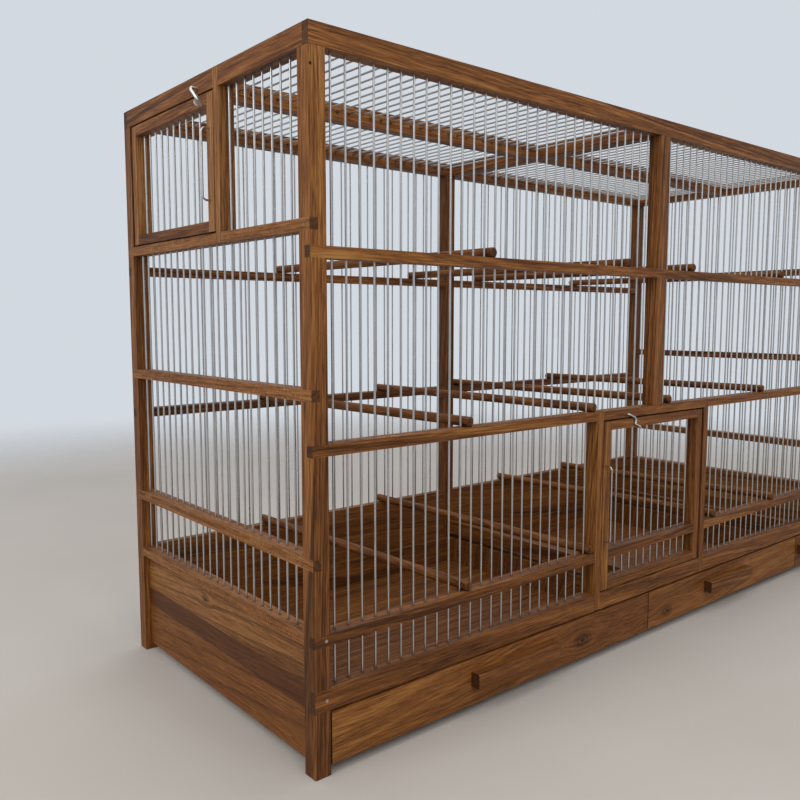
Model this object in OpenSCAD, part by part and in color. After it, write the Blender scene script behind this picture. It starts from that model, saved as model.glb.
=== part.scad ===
/* [Cage] */
// Length of the cage along the front, over the corner posts
cage_l = 1000; // [800:10:1400]
// Depth of the cage from front to back, over the corner posts
cage_d = 376; // [320:1:500]
// Height from the feet to the top of the upper frame
cage_h = 625; // [580:1:700]

/* [Posts] */
// Side of a square corner post, and the depth of every rail
post_w = 16; // [14:0.5:20]
// Depth of the half laps that join rails to posts
lap_depth = 8; // [6:0.5:9]
// Width of the front and back middle posts
middle_post_w = 18; // [14:0.5:24]
// How far right of the cage's centre line the front middle post stands
front_middle_shift = 1; // [-3:0.5:3]
// How far left of the cage's centre line the back middle post stands
back_middle_shift = 7; // [5:0.5:9]
// Height of the feet below the boards
foot_h = 8; // [5:1:10]

/* [Top frame] */
// Height of the top rails and beams
top_rail_h = 18; // [16:0.5:22]
// Distance of the long beam from the front face
long_beam_y = 187; // [150:1:220]

/* [Rails] */
// Height of the slim rails
rail_h = 10; // [8:0.5:12]
// Underside of the upper front and back rails
front_upper_z = 442; // [430:1:455]
// Underside of the middle front and back rails, over the door
front_middle_z = 279; // [268:1:300]
// Underside of the low front rails
front_low_z = 116; // [105:1:120]
// Underside of the bottom front rail, over the drawers
front_bottom_z = 58.5; // [57.5:0.5:64]
// Height of the bottom front rail and of the cross rails over the floor
front_bottom_h = 19.5; // [15:0.5:24]
// Underside of the upper side rails
side_upper_z = 464; // [460:1:485]
// Underside of the middle side rails
side_middle_z = 325; // [310:1:345]
// Underside of the low side rails
side_low_z = 183; // [165:1:205]

/* [Boards] */
// Thickness of the side boards
side_panel_t = 9; // [8:0.5:12]
// Thickness of the back boards
back_panel_t = 10.5; // [10:0.5:13]
// Top of the side boards, where a rail lies on them
side_panel_top = 115.5; // [105:0.5:120]
// Height of the glued joint between the two boards of a side panel
side_panel_joint_z = 76; // [50:1:95]
// Thickness of the base board under the drawers
base_board_t = 5; // [3:0.5:6]
// Width of the cross rail over the joint beside the left drawer
left_cross_rail_w = 18; // [14:0.5:24]
// How far that cross rail starts before the middle drawer
left_cross_rail_lead = 2.8; // [0:0.1:6]
// Width of the cross rail over the joint beside the narrow drawer
right_cross_rail_w = 12; // [8:1:18]
// How far that cross rail starts before the narrow drawer
right_cross_rail_lead = 2; // [0:0.5:6]

/* [Wires] */
// Diameter of the wires
wire_d = 2; // [1.6:0.1:2.4]
// Distance between neighbouring wires
wire_pitch = 15; // [14:0.5:17]
// Centre of the first wire of the front, back and top from the inner face of a corner post
first_wire = 10.3; // [7:0.1:13]
// Centre of the first wire of a side wall from the inner face of a corner post
side_first_wire = 7.5; // [6:0.1:13]
// Least distance from a wire's centre to the post that it stands beside
last_wire = 5.5; // [3:0.1:8]
// Radial room of a wire in its drilled hole
wire_room = 0.1; // [0.05:0.05:0.2]
// Depth of the blind holes in the top rails, the bottom rail and the panels
blind_depth = 6; // [4:0.5:7]
// Depth of the blind holes in the slim rails beside a door
slim_blind_depth = 4; // [3:0.1:4.2]

/* [Perches] */
// Diameter of a perch
perch_d = 10; // [8:0.5:10.5]
// Distance of a perch's ends from the outer faces
perch_end_inset = 2; // [1:0.5:6]
// Bevel round the ends of a perch
perch_bevel = 1; // [0.5:0.5:2]
// Gap under a perch
perch_gap = 0.05; // [0.02:0.01:0.2]
// Room between a low perch and the post of the door
perch_post_room = 0.6; // [0.3:0.1:0.8]

/* [Front door] */
// Width of the clear opening between the front door's posts
door_opening_w = 215.6; // [180:0.5:230]
// How far right of the cage's centre line the middle of that opening lies
door_shift = 1.6; // [-3:0.1:3]
// Width of each post beside a door
door_post_w = 10.2; // [8:0.1:13]
// Width of a door's stile on the side that opens
opening_stile_w = 13; // [10:0.5:16]
// Width of a door's stile on the hinge side
hinge_stile_w = 10; // [8:0.5:12]
// Height of the top and bottom rails of the doors
door_rail_h = 10.5; // [8:0.5:14]
// Distance from the front door's hinge stile to the centre of its last wire
front_door_last_wire = 12.5; // [6:0.5:20]
// Least distance from a door's opening stile to the centre of its first wire
door_first_wire = 18; // [16:0.5:22]

/* [Side door] */
// Front edge of the post beside the side door
side_door_post_y = 149.5; // [130:0.5:165]
// Distance from the side door's hinge stile to the centre of its last wire
side_door_last_wire = 6; // [5:0.5:15]

/* [Door fit] */
// Gap between a door and the frame at its opening side
door_side_gap = 1.3; // [1:0.1:3]
// Gap between a door and the rail below it
door_low_gap = 1.5; // [1:0.1:3]
// Gap between a door and the rail above it
door_top_gap = 2; // [1:0.1:3]
// Room left between a turning hinge stile and the post beside it
hinge_room = 1; // [0.8:0.1:2]
// Diameter of the headless nails that the doors turn on
hinge_pin_d = 2.4; // [2:0.1:3]
// Depth of a hinge nail in the rail of the frame
hinge_pin_hold = 5; // [4:0.1:5.4]
// Depth of a hinge nail in the stile of the door
hinge_pin_reach = 12; // [8:1:20]
// Radial running room of a hinge nail in the stile
hinge_pin_room = 0.06; // [0.02:0.01:0.1]

/* [Pulls] */
// How far the pulls stand out, to the outside of their wire
pull_out = 9; // [7:0.5:10.5]
// Bend of the pulls at their corners, to the middle of the wire
pull_bend = 4; // [3:0.5:5]
// Depth of a pull's legs in the stile
pull_hold = 10; // [6:1:13]
// Length of the front door's pull between its legs
front_pull_l = 88; // [60:1:110]
// How far the middle of the front door's pull lies above the middle of the door
front_pull_z = 3.25; // [-20:0.25:20]
// Distance of the front door's pull from the opening edge of its stile
front_pull_inset = 5; // [3:0.5:8]
// Length of the side door's pull between its legs
side_pull_l = 67; // [40:1:80]
// How far the middle of the side door's pull lies below the middle of the door
side_pull_z = 1.75; // [-15:0.25:15]
// Distance of the side door's pull from the opening edge of its stile
side_pull_inset = 8; // [3:0.5:8]

/* [Hooks] */
// Distance of the front door's hook from the opening edge of the door
front_hook_along = 45; // [30:1:70]
// Height of the front door's hook over the underside of its rail
front_hook_up = 3.5; // [2:0.1:4]
// Distance of the side door's hook from the opening edge of the door
side_hook_along = 30; // [10:1:60]
// Height of the side door's hook over the underside of its rail
side_hook_up = 5.5; // [3:0.5:8]
// Diameter of the side door's hook wire
side_hook_d = 3; // [2:0.5:4]
// How far the side door's hook stands out, to the outside of its wire
side_hook_out = 9; // [8:0.5:10.5]
// Distance of the middle of its flattened end below its corner, along its lean
side_hook_drop = 18.8; // [16:0.2:22]
// Diameter of the flattened end of the side door's hook
side_hook_disc_d = 8.4; // [6:0.2:10]
// Thickness of that flattened end
side_hook_disc_t = 1.6; // [1:0.1:2]
// Gap between a hook and the faces that it turns over
hook_gap = 0.6; // [0.4:0.1:1]
// Radial running room of a hook's shank in its hole
hook_room = 0.06; // [0.02:0.01:0.1]
// Depth of a hook's shank in the rail
hook_hold = 10; // [6:1:12]

/* [Drawers] */
// Width of the left drawer's front
left_drawer_w = 476.4; // [300:0.2:500]
// Width of the narrow drawer's front
right_drawer_w = 87; // [60:1:120]
// Gap between neighbouring drawer fronts, and at their ends
drawer_gap = 1.2; // [0.8:0.1:2]
// Distance of the drawer fronts above the feet's soles
drawer_front_z = 9; // [8:0.5:11]
// Gap between the drawer fronts and the rail above
drawer_top_gap = 2.5; // [1:0.1:3]
// Thickness of the drawer fronts
drawer_front_t = 12; // [8:0.5:15]
// Distance of a tray's side from the end of its front
tray_inset = 0.4; // [0.2:0.1:2]
// Thickness of the tray walls
tray_wall = 7; // [5:0.5:10]
// Thickness of the tray bottoms
tray_bottom = 4; // [3:0.5:6]
// Height of the trays
tray_h = 39.5; // [30:0.5:41]
// Distance of a tray's back from the back panels
tray_back_gap = 3; // [2:0.5:20]
// Sliding gap under a tray
slide_gap = 0.3; // [0.2:0.1:0.5]

/* [Drawer handles] */
// Length of the left drawer's bar handle
left_handle_l = 125; // [60:1:160]
// How far left of the middle of its front that handle is
left_handle_shift = 6.7; // [0:0.1:20]
// Length of the middle drawer's bar handle
middle_handle_l = 110; // [60:1:150]
// How far left of the middle of its front that handle is
middle_handle_shift = 14; // [0:0.1:20]
// Distance of the narrow drawer's bar handle from the ends of its front
right_handle_inset = 4.5; // [3:0.5:16]
// Height of a bar handle
handle_h = 15; // [10:0.5:18]
// How far a bar handle stands out
handle_out = 11; // [10.5:0.5:16]
// Height of the underside of the bar handles
handle_z = 28.5; // [20:0.5:32]
// Bevel along the outer edges of a bar handle
handle_bevel = 1.5; // [0.5:0.5:3]

/* [Nails] */
// Diameter of the nails' shanks
nail_d = 1.6; // [1.2:0.1:2]
// Diameter of the nails' heads
nail_head_d = 3; // [2.5:0.1:5]
// Thickness of the nails' heads
nail_head_t = 0.6; // [0.4:0.1:1]
// Length of the nails
nail_l = 13; // [10:0.5:13.5]
// Distance of the nails from the outer face of the side wall
nail_x = 12; // [10:0.5:13]

/* [Hidden] */
$fn = 48;
over = 1;
wood = "#8a5a2c";
board_wood = "#a06c3a";
perch_wood = "#6e4526";
steel = "#c8c8c4";

// The whole stands centred on the origin, with its pulls and handles counted
left_reach = max(pull_out, side_hook_out, hook_gap + side_hook_disc_d);
front_reach = max(handle_out, pull_out);
corner_x = -(cage_l - left_reach) / 2;
corner_y = -(cage_d - front_reach) / 2;

// Inner faces and levels of the frame
inner_x = cage_l - post_w;
inner_y = cage_d - post_w;
wire_in = post_w / 2;
top_z = cage_h - top_rail_h;
top_wire_z = top_z + top_rail_h / 2;
front_bottom_top = front_bottom_z + front_bottom_h;
front_middle_top = front_middle_z + rail_h;
front_low_top = front_low_z + rail_h;
side_upper_top = side_upper_z + rail_h;
board_rail_top = side_panel_top + rail_h;
back_panel_top = front_low_top;
base_top = foot_h + base_board_t;
front_middle_x = cage_l / 2 + front_middle_shift - middle_post_w / 2;
front_middle_end = front_middle_x + middle_post_w;
back_middle_x = cage_l / 2 - back_middle_shift - middle_post_w / 2;
back_middle_end = back_middle_x + middle_post_w;

// Underside and height of each rail that is lapped into a wall's posts
back_spans = [[front_upper_z, rail_h], [front_middle_z, rail_h]];
front_spans = concat(back_spans, [[front_low_z, rail_h], [front_bottom_z, front_bottom_h]]);
side_spans = [[side_upper_z, rail_h], [side_middle_z, rail_h], [side_low_z, rail_h]];

// Openings of the doors; a turning hinge stile sweeps half its diagonal
stile_sweep = sqrt(pow(hinge_stile_w / 2, 2) + pow(post_w / 2, 2));
hinge_inset = stile_sweep + hinge_room;
door_left_x = cage_l / 2 + door_shift - door_opening_w / 2;
door_right_x = door_left_x + door_opening_w;
door_post_left_x = door_left_x - door_post_w;
door_post_right_end = door_right_x + door_post_w;
hinge_x = door_right_x - hinge_inset;
front_door_x = door_left_x + door_side_gap;
front_door_end = hinge_x + hinge_stile_w / 2;
front_door_z = front_bottom_top + door_low_gap;
front_door_top = front_middle_z - door_top_gap;
side_door_post_end = side_door_post_y + door_post_w;
hinge_y = inner_y - hinge_inset;
side_door_y = side_door_post_end + door_side_gap;
side_door_end = hinge_y + hinge_stile_w / 2;
side_door_z = side_upper_top + door_low_gap;
side_door_top = top_z - door_top_gap;

// Left end and width of each drawer front; the middle drawer takes what is left
left_drawer_x = post_w + drawer_gap;
middle_drawer_x = left_drawer_x + left_drawer_w + drawer_gap;
right_drawer_x = inner_x - drawer_gap - right_drawer_w;
middle_drawer_w = right_drawer_x - drawer_gap - middle_drawer_x;
drawer_front_top = front_bottom_z - drawer_top_gap;
left_cross_rail_x = middle_drawer_x - left_cross_rail_lead;
right_cross_rail_x = right_drawer_x - right_cross_rail_lead;

// Places of the wires along each wall
function ladder(first, last) = [for (x = first; x <= last; x = x + wire_pitch) x];
function from_right_end(places) = [for (x = places) cage_l - x];
first_x = post_w + first_wire;
front_xs = concat(
    ladder(first_x, front_middle_x - last_wire),
    from_right_end(ladder(first_x, cage_l - front_middle_end - last_wire))
);
back_xs = concat(
    ladder(first_x, back_middle_x - last_wire),
    from_right_end(ladder(first_x, cage_l - back_middle_end - last_wire))
);
side_ys = ladder(post_w + side_first_wire, inner_y - last_wire);
left_of_door_xs = [for (x = front_xs) if (x <= door_post_left_x - last_wire) x];
right_of_door_xs = [for (x = front_xs) if (x >= door_post_right_end + last_wire) x];
over_door_xs = [
    for (x = front_xs) if (x > door_post_left_x - last_wire && x < door_post_right_end + last_wire) x
];
beside_side_door_ys = [for (y = side_ys) if (y <= side_door_post_y - last_wire) y];
under_side_door_ys = [for (y = side_ys) if (y > side_door_post_y - last_wire) y];

// Places of a door's wires, from the last one beside the hinge stile back towards the pull
function door_ladder(stile, last) = [for (x = last; x >= stile + door_first_wire; x = x - wire_pitch) x];
front_door_xs = door_ladder(
    front_door_x + opening_stile_w, front_door_end - hinge_stile_w - front_door_last_wire
);
side_door_ys = door_ladder(
    side_door_y + opening_stile_w, side_door_end - hinge_stile_w - side_door_last_wire
);

// Perches: how far right of the centre line each front and back end lies, before
// it moves to the middle of the nearest gap between two wires
upper_perches = [[-291, -302], [-63, -82], [75, 60], [320, 305]];
middle_perches = [[-316, -335], [-121, -141], [30, 12], [277, 242]];
low_perches = [[-315, -328], [-120, -141], [155, 118], [315, 287]];
function gap_from_end(x) = first_x + (round((x - first_x) / wire_pitch - 0.5) + 0.5) * wire_pitch;
function gap_x(shift) = shift < 0
    ? gap_from_end(cage_l / 2 + shift)
    : cage_l - gap_from_end(cage_l / 2 - shift);
perch_post_inset = perch_d / 2 + perch_post_room;
function beside_door_post(x) = x < cage_l / 2
    ? min(x, door_post_left_x - perch_post_inset)
    : max(x, door_post_right_end + perch_post_inset);

module at_corner() {
    translate([corner_x, corner_y, 0]) children();
}

module from_right() {
    translate([cage_l, 0, 0]) mirror([1, 0, 0]) children();
}

module from_back() {
    translate([0, cage_d, 0]) mirror([0, 1, 0]) children();
}

module block(low, high) {
    translate(low) cube(high - low);
}

// A round bar from one point to another
module rod(p, q, d) {
    v = q - p;
    translate(p) rotate([0, acos(v[2] / norm(v)), atan2(v[1], v[0])]) cylinder(d = d, h = norm(v));
}

// How much thicker than its wire a rounded corner is
corner_swell = 0.3;

// A round wire along several points, bent with radius r to the middle of the wire
function unit(v) = v / norm(v);
function bend_angle(a, p, b) = acos(unit(p - a) * unit(b - p));
function bend_length(a, p, b, r) = r * tan(bend_angle(a, p, b) / 2);

module bend(a, p, b, r, d) {
    u = unit(p - a);
    v = unit(b - p);
    inward = unit(v - (u * v) * u);
    axis = cross(-inward, u);
    middle = p - bend_length(a, p, b, r) * u + r * inward;
    multmatrix([
        [-inward[0], u[0], axis[0], middle[0]],
        [-inward[1], u[1], axis[1], middle[1]],
        [-inward[2], u[2], axis[2], middle[2]],
        [0, 0, 0, 1]
    ]) rotate_extrude(angle = bend_angle(a, p, b)) translate([r, 0]) circle(d = d);
}

// true_bends of the inner points, counted from the first, get a true bend, the others a rounded corner
module bent_wire(points, r, d, true_bends) {
    n = len(points);
    function cut(i) = i > 0 && i <= true_bends ? bend_length(points[i - 1], points[i], points[i + 1], r) : 0;
    for (i = [1 : n - 1]) {
        u = unit(points[i] - points[i - 1]);
        rod(points[i - 1] + cut(i - 1) * u, points[i] - cut(i) * u, d);
    }
    for (i = [1 : n - 2]) {
        if (i <= true_bends) bend(points[i - 1], points[i], points[i + 1], r, d);
        else translate(points[i]) sphere(d = d + corner_swell);
    }
}

// Upright wires at a list of places; room widens them into holes
module front_uprights(xs, y, z0, z1, room = 0) {
    for (x = xs) translate([x, y, z0 - room]) cylinder(d = wire_d + 2 * room, h = z1 - z0 + 2 * room);
}

module side_uprights(x, ys, z0, z1, room = 0) {
    for (y = ys) translate([x, y, z0 - room]) cylinder(d = wire_d + 2 * room, h = z1 - z0 + 2 * room);
}

module left_of_door_uprights(room = 0) {
    front_uprights(left_of_door_xs, wire_in, front_bottom_top - blind_depth, top_z + blind_depth, room);
}

module right_of_door_uprights(room = 0) {
    front_uprights(right_of_door_xs, wire_in, front_bottom_top - blind_depth, top_z + blind_depth, room);
}

module over_door_uprights(room = 0) {
    front_uprights(over_door_xs, wire_in, front_middle_top - slim_blind_depth, top_z + blind_depth, room);
}

module all_front_uprights(room) {
    left_of_door_uprights(room);
    right_of_door_uprights(room);
    over_door_uprights(room);
}

module back_uprights(room = 0) {
    front_uprights(back_xs, cage_d - wire_in, back_panel_top - blind_depth, top_z + blind_depth, room);
}

module left_uprights(room = 0) {
    low = board_rail_top - blind_depth;
    side_uprights(wire_in, beside_side_door_ys, low, top_z + blind_depth, room);
    side_uprights(wire_in, under_side_door_ys, low, side_upper_z + slim_blind_depth, room);
}

module right_uprights(room = 0) {
    side_uprights(cage_l - wire_in, side_ys, board_rail_top - blind_depth, top_z + blind_depth, room);
}

module top_wires(room = 0) {
    y0 = post_w - blind_depth - room;
    y1 = inner_y + blind_depth + room;
    for (x = front_xs) rod([x, y0, top_wire_z], [x, y1, top_wire_z], wire_d + 2 * room);
}

module front_door_uprights(room = 0) {
    low = front_door_z + door_rail_h - blind_depth;
    high = front_door_top - door_rail_h + blind_depth;
    front_uprights(front_door_xs, wire_in, low, high, room);
}

module side_door_uprights(room = 0) {
    low = side_door_z + door_rail_h - blind_depth;
    high = side_door_top - door_rail_h + blind_depth;
    side_uprights(wire_in, side_door_ys, low, high, room);
}

// Headless nails: each stands half in the frame's rail and half in the door's stile
module hinge_pin_pair(x, y, door_low, door_high, rail_low, rail_high, room) {
    d = hinge_pin_d + 2 * room;
    translate([x, y, rail_low - hinge_pin_hold - room])
        cylinder(d = d, h = door_low + hinge_pin_reach - rail_low + hinge_pin_hold + 2 * room);
    translate([x, y, door_high - hinge_pin_reach - room])
        cylinder(d = d, h = rail_high + hinge_pin_hold - door_high + hinge_pin_reach + 2 * room);
}

module front_hinge_pins(room = 0) {
    hinge_pin_pair(
        hinge_x, wire_in, front_door_z, front_door_top, front_bottom_top, front_middle_z, room
    );
}

module side_hinge_pins(room = 0) {
    hinge_pin_pair(wire_in, hinge_y, side_door_z, side_door_top, side_upper_top, top_z, room);
}

// Outline, seen from above, of a rail whose outer half runs over the posts' laps
function lapped_outline(l) = [
    [0, 0], [l, 0], [l, lap_depth], [l - post_w, lap_depth], [l - post_w, post_w],
    [post_w, post_w], [post_w, lap_depth], [0, lap_depth]
];
function turned(points) = [for (p = points) [p[1], p[0]]];

module front_rail(z, h) {
    translate([0, 0, z]) linear_extrude(h) polygon(lapped_outline(cage_l));
}

module side_rail(z, h) {
    translate([0, 0, z]) linear_extrude(h) polygon(turned(lapped_outline(cage_d)));
}

// Laps cut into the outer face of a post at the front or at a side
module front_laps(spans, x0, x1) {
    for (s = spans) block([x0 - over, -over, s[0]], [x1 + over, lap_depth, s[0] + s[1]]);
}

module side_laps(spans, y0, y1) {
    for (s = spans) block([-over, y0 - over, s[0]], [lap_depth, y1 + over, s[0] + s[1]]);
}

module corner_post(spans) {
    difference() {
        block([0, 0, 0], [post_w, post_w, top_z]);
        front_laps(spans, 0, post_w);
        side_laps(side_spans, 0, post_w);
    }
}

// Nails through the low and the bottom laps of a front corner post
nail_zs = [front_low_z + rail_h / 2, front_bottom_z + front_bottom_h / 2];

module corner_nails(room = 0) {
    for (z = nail_zs) {
        translate([nail_x, 0, z]) rotate([-90, 0, 0]) {
            cylinder(d = nail_d + 2 * room, h = nail_l + room);
            translate([0, 0, -nail_head_t]) cylinder(d = nail_head_d, h = nail_head_t);
        }
    }
}

module post_front_left() {
    color(wood) at_corner() difference() {
        corner_post(front_spans);
        corner_nails(wire_room);
    }
}

module post_front_right() {
    color(wood) at_corner() from_right() difference() {
        corner_post(front_spans);
        corner_nails(wire_room);
    }
}

module post_back_left() {
    color(wood) at_corner() from_back() corner_post(back_spans);
}

module post_back_right() {
    color(wood) at_corner() from_right() from_back() corner_post(back_spans);
}

module post_front_middle() {
    color(wood) at_corner() difference() {
        block([front_middle_x, 0, front_middle_top], [front_middle_end, post_w, top_z]);
        front_laps([back_spans[0]], front_middle_x, front_middle_end);
    }
}

module post_back_middle() {
    color(wood) at_corner() from_back() difference() {
        block([back_middle_x, 0, foot_h], [back_middle_end, post_w, top_z]);
        front_laps(back_spans, back_middle_x, back_middle_end);
    }
}

// A post whose outer half runs over two rails and whose inner half stands between them
module door_post_left() {
    color(wood) at_corner() front_door_post(door_post_left_x);
}

module door_post_right() {
    color(wood) at_corner() front_door_post(door_right_x);
}

module front_door_post(x) {
    x0 = x - over;
    x1 = x + door_post_w + over;
    difference() {
        block([x, 0, front_bottom_z], [x + door_post_w, post_w, front_middle_top]);
        block([x0, lap_depth, front_bottom_z - over], [x1, post_w + over, front_bottom_top]);
        block([x0, lap_depth, front_middle_z], [x1, post_w + over, front_middle_top + over]);
        over_door_uprights(wire_room);
    }
}

module side_door_post() {
    y0 = side_door_post_y;
    y1 = side_door_post_end;
    color(wood) at_corner() difference() {
        block([0, y0, side_upper_z], [post_w, y1, cage_h]);
        block([lap_depth, y0 - over, side_upper_z - over], [post_w + over, y1 + over, side_upper_top]);
        block([lap_depth, y0 - over, top_z], [post_w + over, y1 + over, cage_h + over]);
        left_uprights(wire_room);
    }
}

module top_rail_front() {
    color(wood) at_corner() difference() {
        front_rail(top_z, top_rail_h);
        all_front_uprights(wire_room);
        top_wires(wire_room);
    }
}

module top_rail_back() {
    color(wood) at_corner() difference() {
        from_back() front_rail(top_z, top_rail_h);
        back_uprights(wire_room);
        top_wires(wire_room);
    }
}

module side_top_rail() {
    block([0, lap_depth, top_z], [post_w, cage_d - lap_depth, cage_h]);
}

module top_rail_left() {
    color(wood) at_corner() difference() {
        side_top_rail();
        block([-over, side_door_post_y, top_z - over], [lap_depth, side_door_post_end, cage_h + over]);
        left_uprights(wire_room);
        side_hinge_pins(wire_room);
        side_hook_shank(hook_room);
    }
}

module top_rail_right() {
    color(wood) at_corner() difference() {
        from_right() side_top_rail();
        right_uprights(wire_room);
    }
}

// The two beams of the top are halved where they cross
module top_beam_long() {
    color(wood) at_corner() difference() {
        block([post_w, long_beam_y, top_z], [inner_x, long_beam_y + post_w, cage_h]);
        block(
            [front_middle_x, long_beam_y - over, top_z - over],
            [front_middle_end, long_beam_y + post_w + over, top_wire_z]
        );
        top_wires(wire_room);
    }
}

module top_beam_cross() {
    color(wood) at_corner() difference() {
        block([front_middle_x, post_w, top_z], [front_middle_end, inner_y, cage_h]);
        block(
            [front_middle_x - over, long_beam_y, top_wire_z],
            [front_middle_end + over, long_beam_y + post_w, cage_h + over]
        );
    }
}

module front_rail_upper() {
    color(wood) at_corner() difference() {
        front_rail(front_upper_z, rail_h);
        block(
            [front_middle_x, lap_depth, front_upper_z - over],
            [front_middle_end, post_w + over, front_upper_z + rail_h + over]
        );
        all_front_uprights(wire_room);
    }
}

// Notches in the outer half of a front rail where the posts of the door run over it
module door_post_notches(z, h) {
    for (x = [door_post_left_x, door_right_x]) {
        block([x, -over, z - over], [x + door_post_w, lap_depth, z + h + over]);
    }
}

module front_rail_middle() {
    color(wood) at_corner() difference() {
        front_rail(front_middle_z, rail_h);
        door_post_notches(front_middle_z, rail_h);
        all_front_uprights(wire_room);
        front_hinge_pins(wire_room);
        front_hook_shank(hook_room);
    }
}

// A low rail from a corner post to the post of the door
module low_rail(l) {
    translate([0, 0, front_low_z]) linear_extrude(rail_h) polygon([
        [0, 0], [l, 0], [l, post_w], [post_w, post_w], [post_w, lap_depth], [0, lap_depth]
    ]);
}

module front_rails_low() {
    color(wood) at_corner() {
        difference() {
            low_rail(door_post_left_x);
            left_of_door_uprights(wire_room);
            corner_nails(wire_room);
        }
        difference() {
            from_right() low_rail(cage_l - door_post_right_end);
            right_of_door_uprights(wire_room);
            from_right() corner_nails(wire_room);
        }
    }
}

module front_rail_bottom() {
    color(wood) at_corner() difference() {
        front_rail(front_bottom_z, front_bottom_h);
        door_post_notches(front_bottom_z, front_bottom_h);
        all_front_uprights(wire_room);
        front_hinge_pins(wire_room);
        corner_nails(wire_room);
        from_right() corner_nails(wire_room);
    }
}

module back_rails() {
    color(wood) at_corner() difference() {
        from_back() for (s = back_spans) front_rail(s[0], s[1]);
        block(
            [back_middle_x, inner_y - over, front_middle_z - over],
            [back_middle_end, cage_d - lap_depth, front_upper_z + rail_h + over]
        );
        back_uprights(wire_room);
    }
}

// The lowest side rail stands between the posts, on top of the boards
module board_rail() {
    block([0, post_w, side_panel_top], [post_w, inner_y, board_rail_top]);
}

module left_rails() {
    color(wood) at_corner() difference() {
        union() {
            for (s = side_spans) side_rail(s[0], s[1]);
            board_rail();
        }
        block(
            [-over, side_door_post_y, side_upper_z - over],
            [lap_depth, side_door_post_end, side_upper_top + over]
        );
        left_uprights(wire_room);
        side_hinge_pins(wire_room);
    }
}

module right_rails() {
    color(wood) at_corner() difference() {
        from_right() {
            for (s = side_spans) side_rail(s[0], s[1]);
            board_rail();
        }
        right_uprights(wire_room);
    }
}

// A board of a side panel, with its inner face in line with the posts
module side_board(z0, z1) {
    block([post_w - side_panel_t, post_w, z0], [post_w, inner_y, z1]);
}

module left_panel_upper_board() {
    color(board_wood) at_corner() side_board(side_panel_joint_z, side_panel_top);
}

module left_panel_lower_board() {
    color(wood) at_corner() side_board(foot_h, side_panel_joint_z);
}

module right_panel_upper_board() {
    color(board_wood) at_corner() from_right() side_board(side_panel_joint_z, side_panel_top);
}

module right_panel_lower_board() {
    color(wood) at_corner() from_right() side_board(foot_h, side_panel_joint_z);
}

module back_panels() {
    color(board_wood) at_corner() difference() {
        union() {
            block([post_w, inner_y, foot_h], [back_middle_x, inner_y + back_panel_t, back_panel_top]);
            block([back_middle_end, inner_y, foot_h], [inner_x, inner_y + back_panel_t, back_panel_top]);
        }
        back_uprights(wire_room);
    }
}

module base_board() {
    color(board_wood) at_corner()
        block([post_w, drawer_front_t + drawer_gap, foot_h], [inner_x, inner_y, base_top]);
}

module cross_rail(x, w) {
    block([x, post_w, front_bottom_z], [x + w, inner_y, front_bottom_top]);
}

module floor_cross_rails() {
    color(wood) at_corner() {
        cross_rail(left_cross_rail_x, left_cross_rail_w);
        cross_rail(right_cross_rail_x, right_cross_rail_w);
    }
}

module wires_front_left() {
    color(steel) at_corner() left_of_door_uprights();
}

module wires_front_right() {
    color(steel) at_corner() right_of_door_uprights();
}

module wires_over_door() {
    color(steel) at_corner() over_door_uprights();
}

module wires_back() {
    color(steel) at_corner() back_uprights();
}

module wires_left() {
    color(steel) at_corner() left_uprights();
}

module wires_right() {
    color(steel) at_corner() right_uprights();
}

module wires_top() {
    color(steel) at_corner() top_wires();
}

module nails() {
    color(steel) at_corner() {
        corner_nails();
        from_right() corner_nails();
    }
}

module hinge_pins() {
    color(steel) at_corner() {
        front_hinge_pins();
        side_hinge_pins();
    }
}

// A dowel with bevelled ends, lying on the rails between the wires
module perch(front_x, back_x, z) {
    y0 = perch_end_inset;
    y1 = cage_d - perch_end_inset;
    slant = (back_x - front_x) / (cage_d - 2 * wire_in);
    p = [front_x - slant * (wire_in - y0), y0, z];
    q = [back_x + slant * (wire_in - y0), y1, z];
    v = q - p;
    l = norm(v);
    r = perch_d / 2;
    translate(p) rotate([0, 90, atan2(v[1], v[0])]) rotate_extrude() polygon([
        [0, 0], [r - perch_bevel, 0], [r, perch_bevel], [r, l - perch_bevel], [r - perch_bevel, l], [0, l]
    ]);
}

module perches_on(level, places) {
    for (p = places) perch(gap_x(p[0]), gap_x(p[1]), level + perch_d / 2 + perch_gap);
}

module perches_upper() {
    color(perch_wood) at_corner() perches_on(front_upper_z + rail_h, upper_perches);
}

module perches_middle() {
    color(perch_wood) at_corner() perches_on(front_middle_top, middle_perches);
}

module perches_low() {
    z = front_low_top + perch_d / 2 + perch_gap;
    color(perch_wood) at_corner()
        for (p = low_perches) perch(beside_door_post(gap_x(p[0])), gap_x(p[1]), z);
}

// A wire bent to a U: legs into the wood along +Y, the bar upright in front
module wire_pull(l, room = 0) {
    bar_y = -(pull_out - wire_d / 2);
    leg_y = pull_hold + room;
    bent_wire([[0, leg_y, 0], [0, bar_y, 0], [0, bar_y, l], [0, leg_y, l]], pull_bend, wire_d + 2 * room, 2);
}

module front_door_pull_wire(room = 0) {
    z = (front_door_z + front_door_top - front_pull_l) / 2 + front_pull_z;
    translate([front_door_x + front_pull_inset, 0, z]) wire_pull(front_pull_l, room);
}

module side_door_pull_wire(room = 0) {
    z = (side_door_z + side_door_top - side_pull_l) / 2 - side_pull_z;
    translate([0, side_door_y + side_pull_inset, z]) rotate([0, 0, -90]) wire_pull(side_pull_l, room);
}

module front_door_stiles() {
    x1 = front_door_x + opening_stile_w;
    x2 = front_door_end - hinge_stile_w;
    color(wood) at_corner() difference() {
        union() {
            block([front_door_x, 0, front_door_z], [x1, post_w, front_door_top]);
            block([x2, 0, front_door_z], [front_door_end, post_w, front_door_top]);
        }
        front_hinge_pins(hinge_pin_room);
        front_door_pull_wire(wire_room);
    }
}

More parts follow.
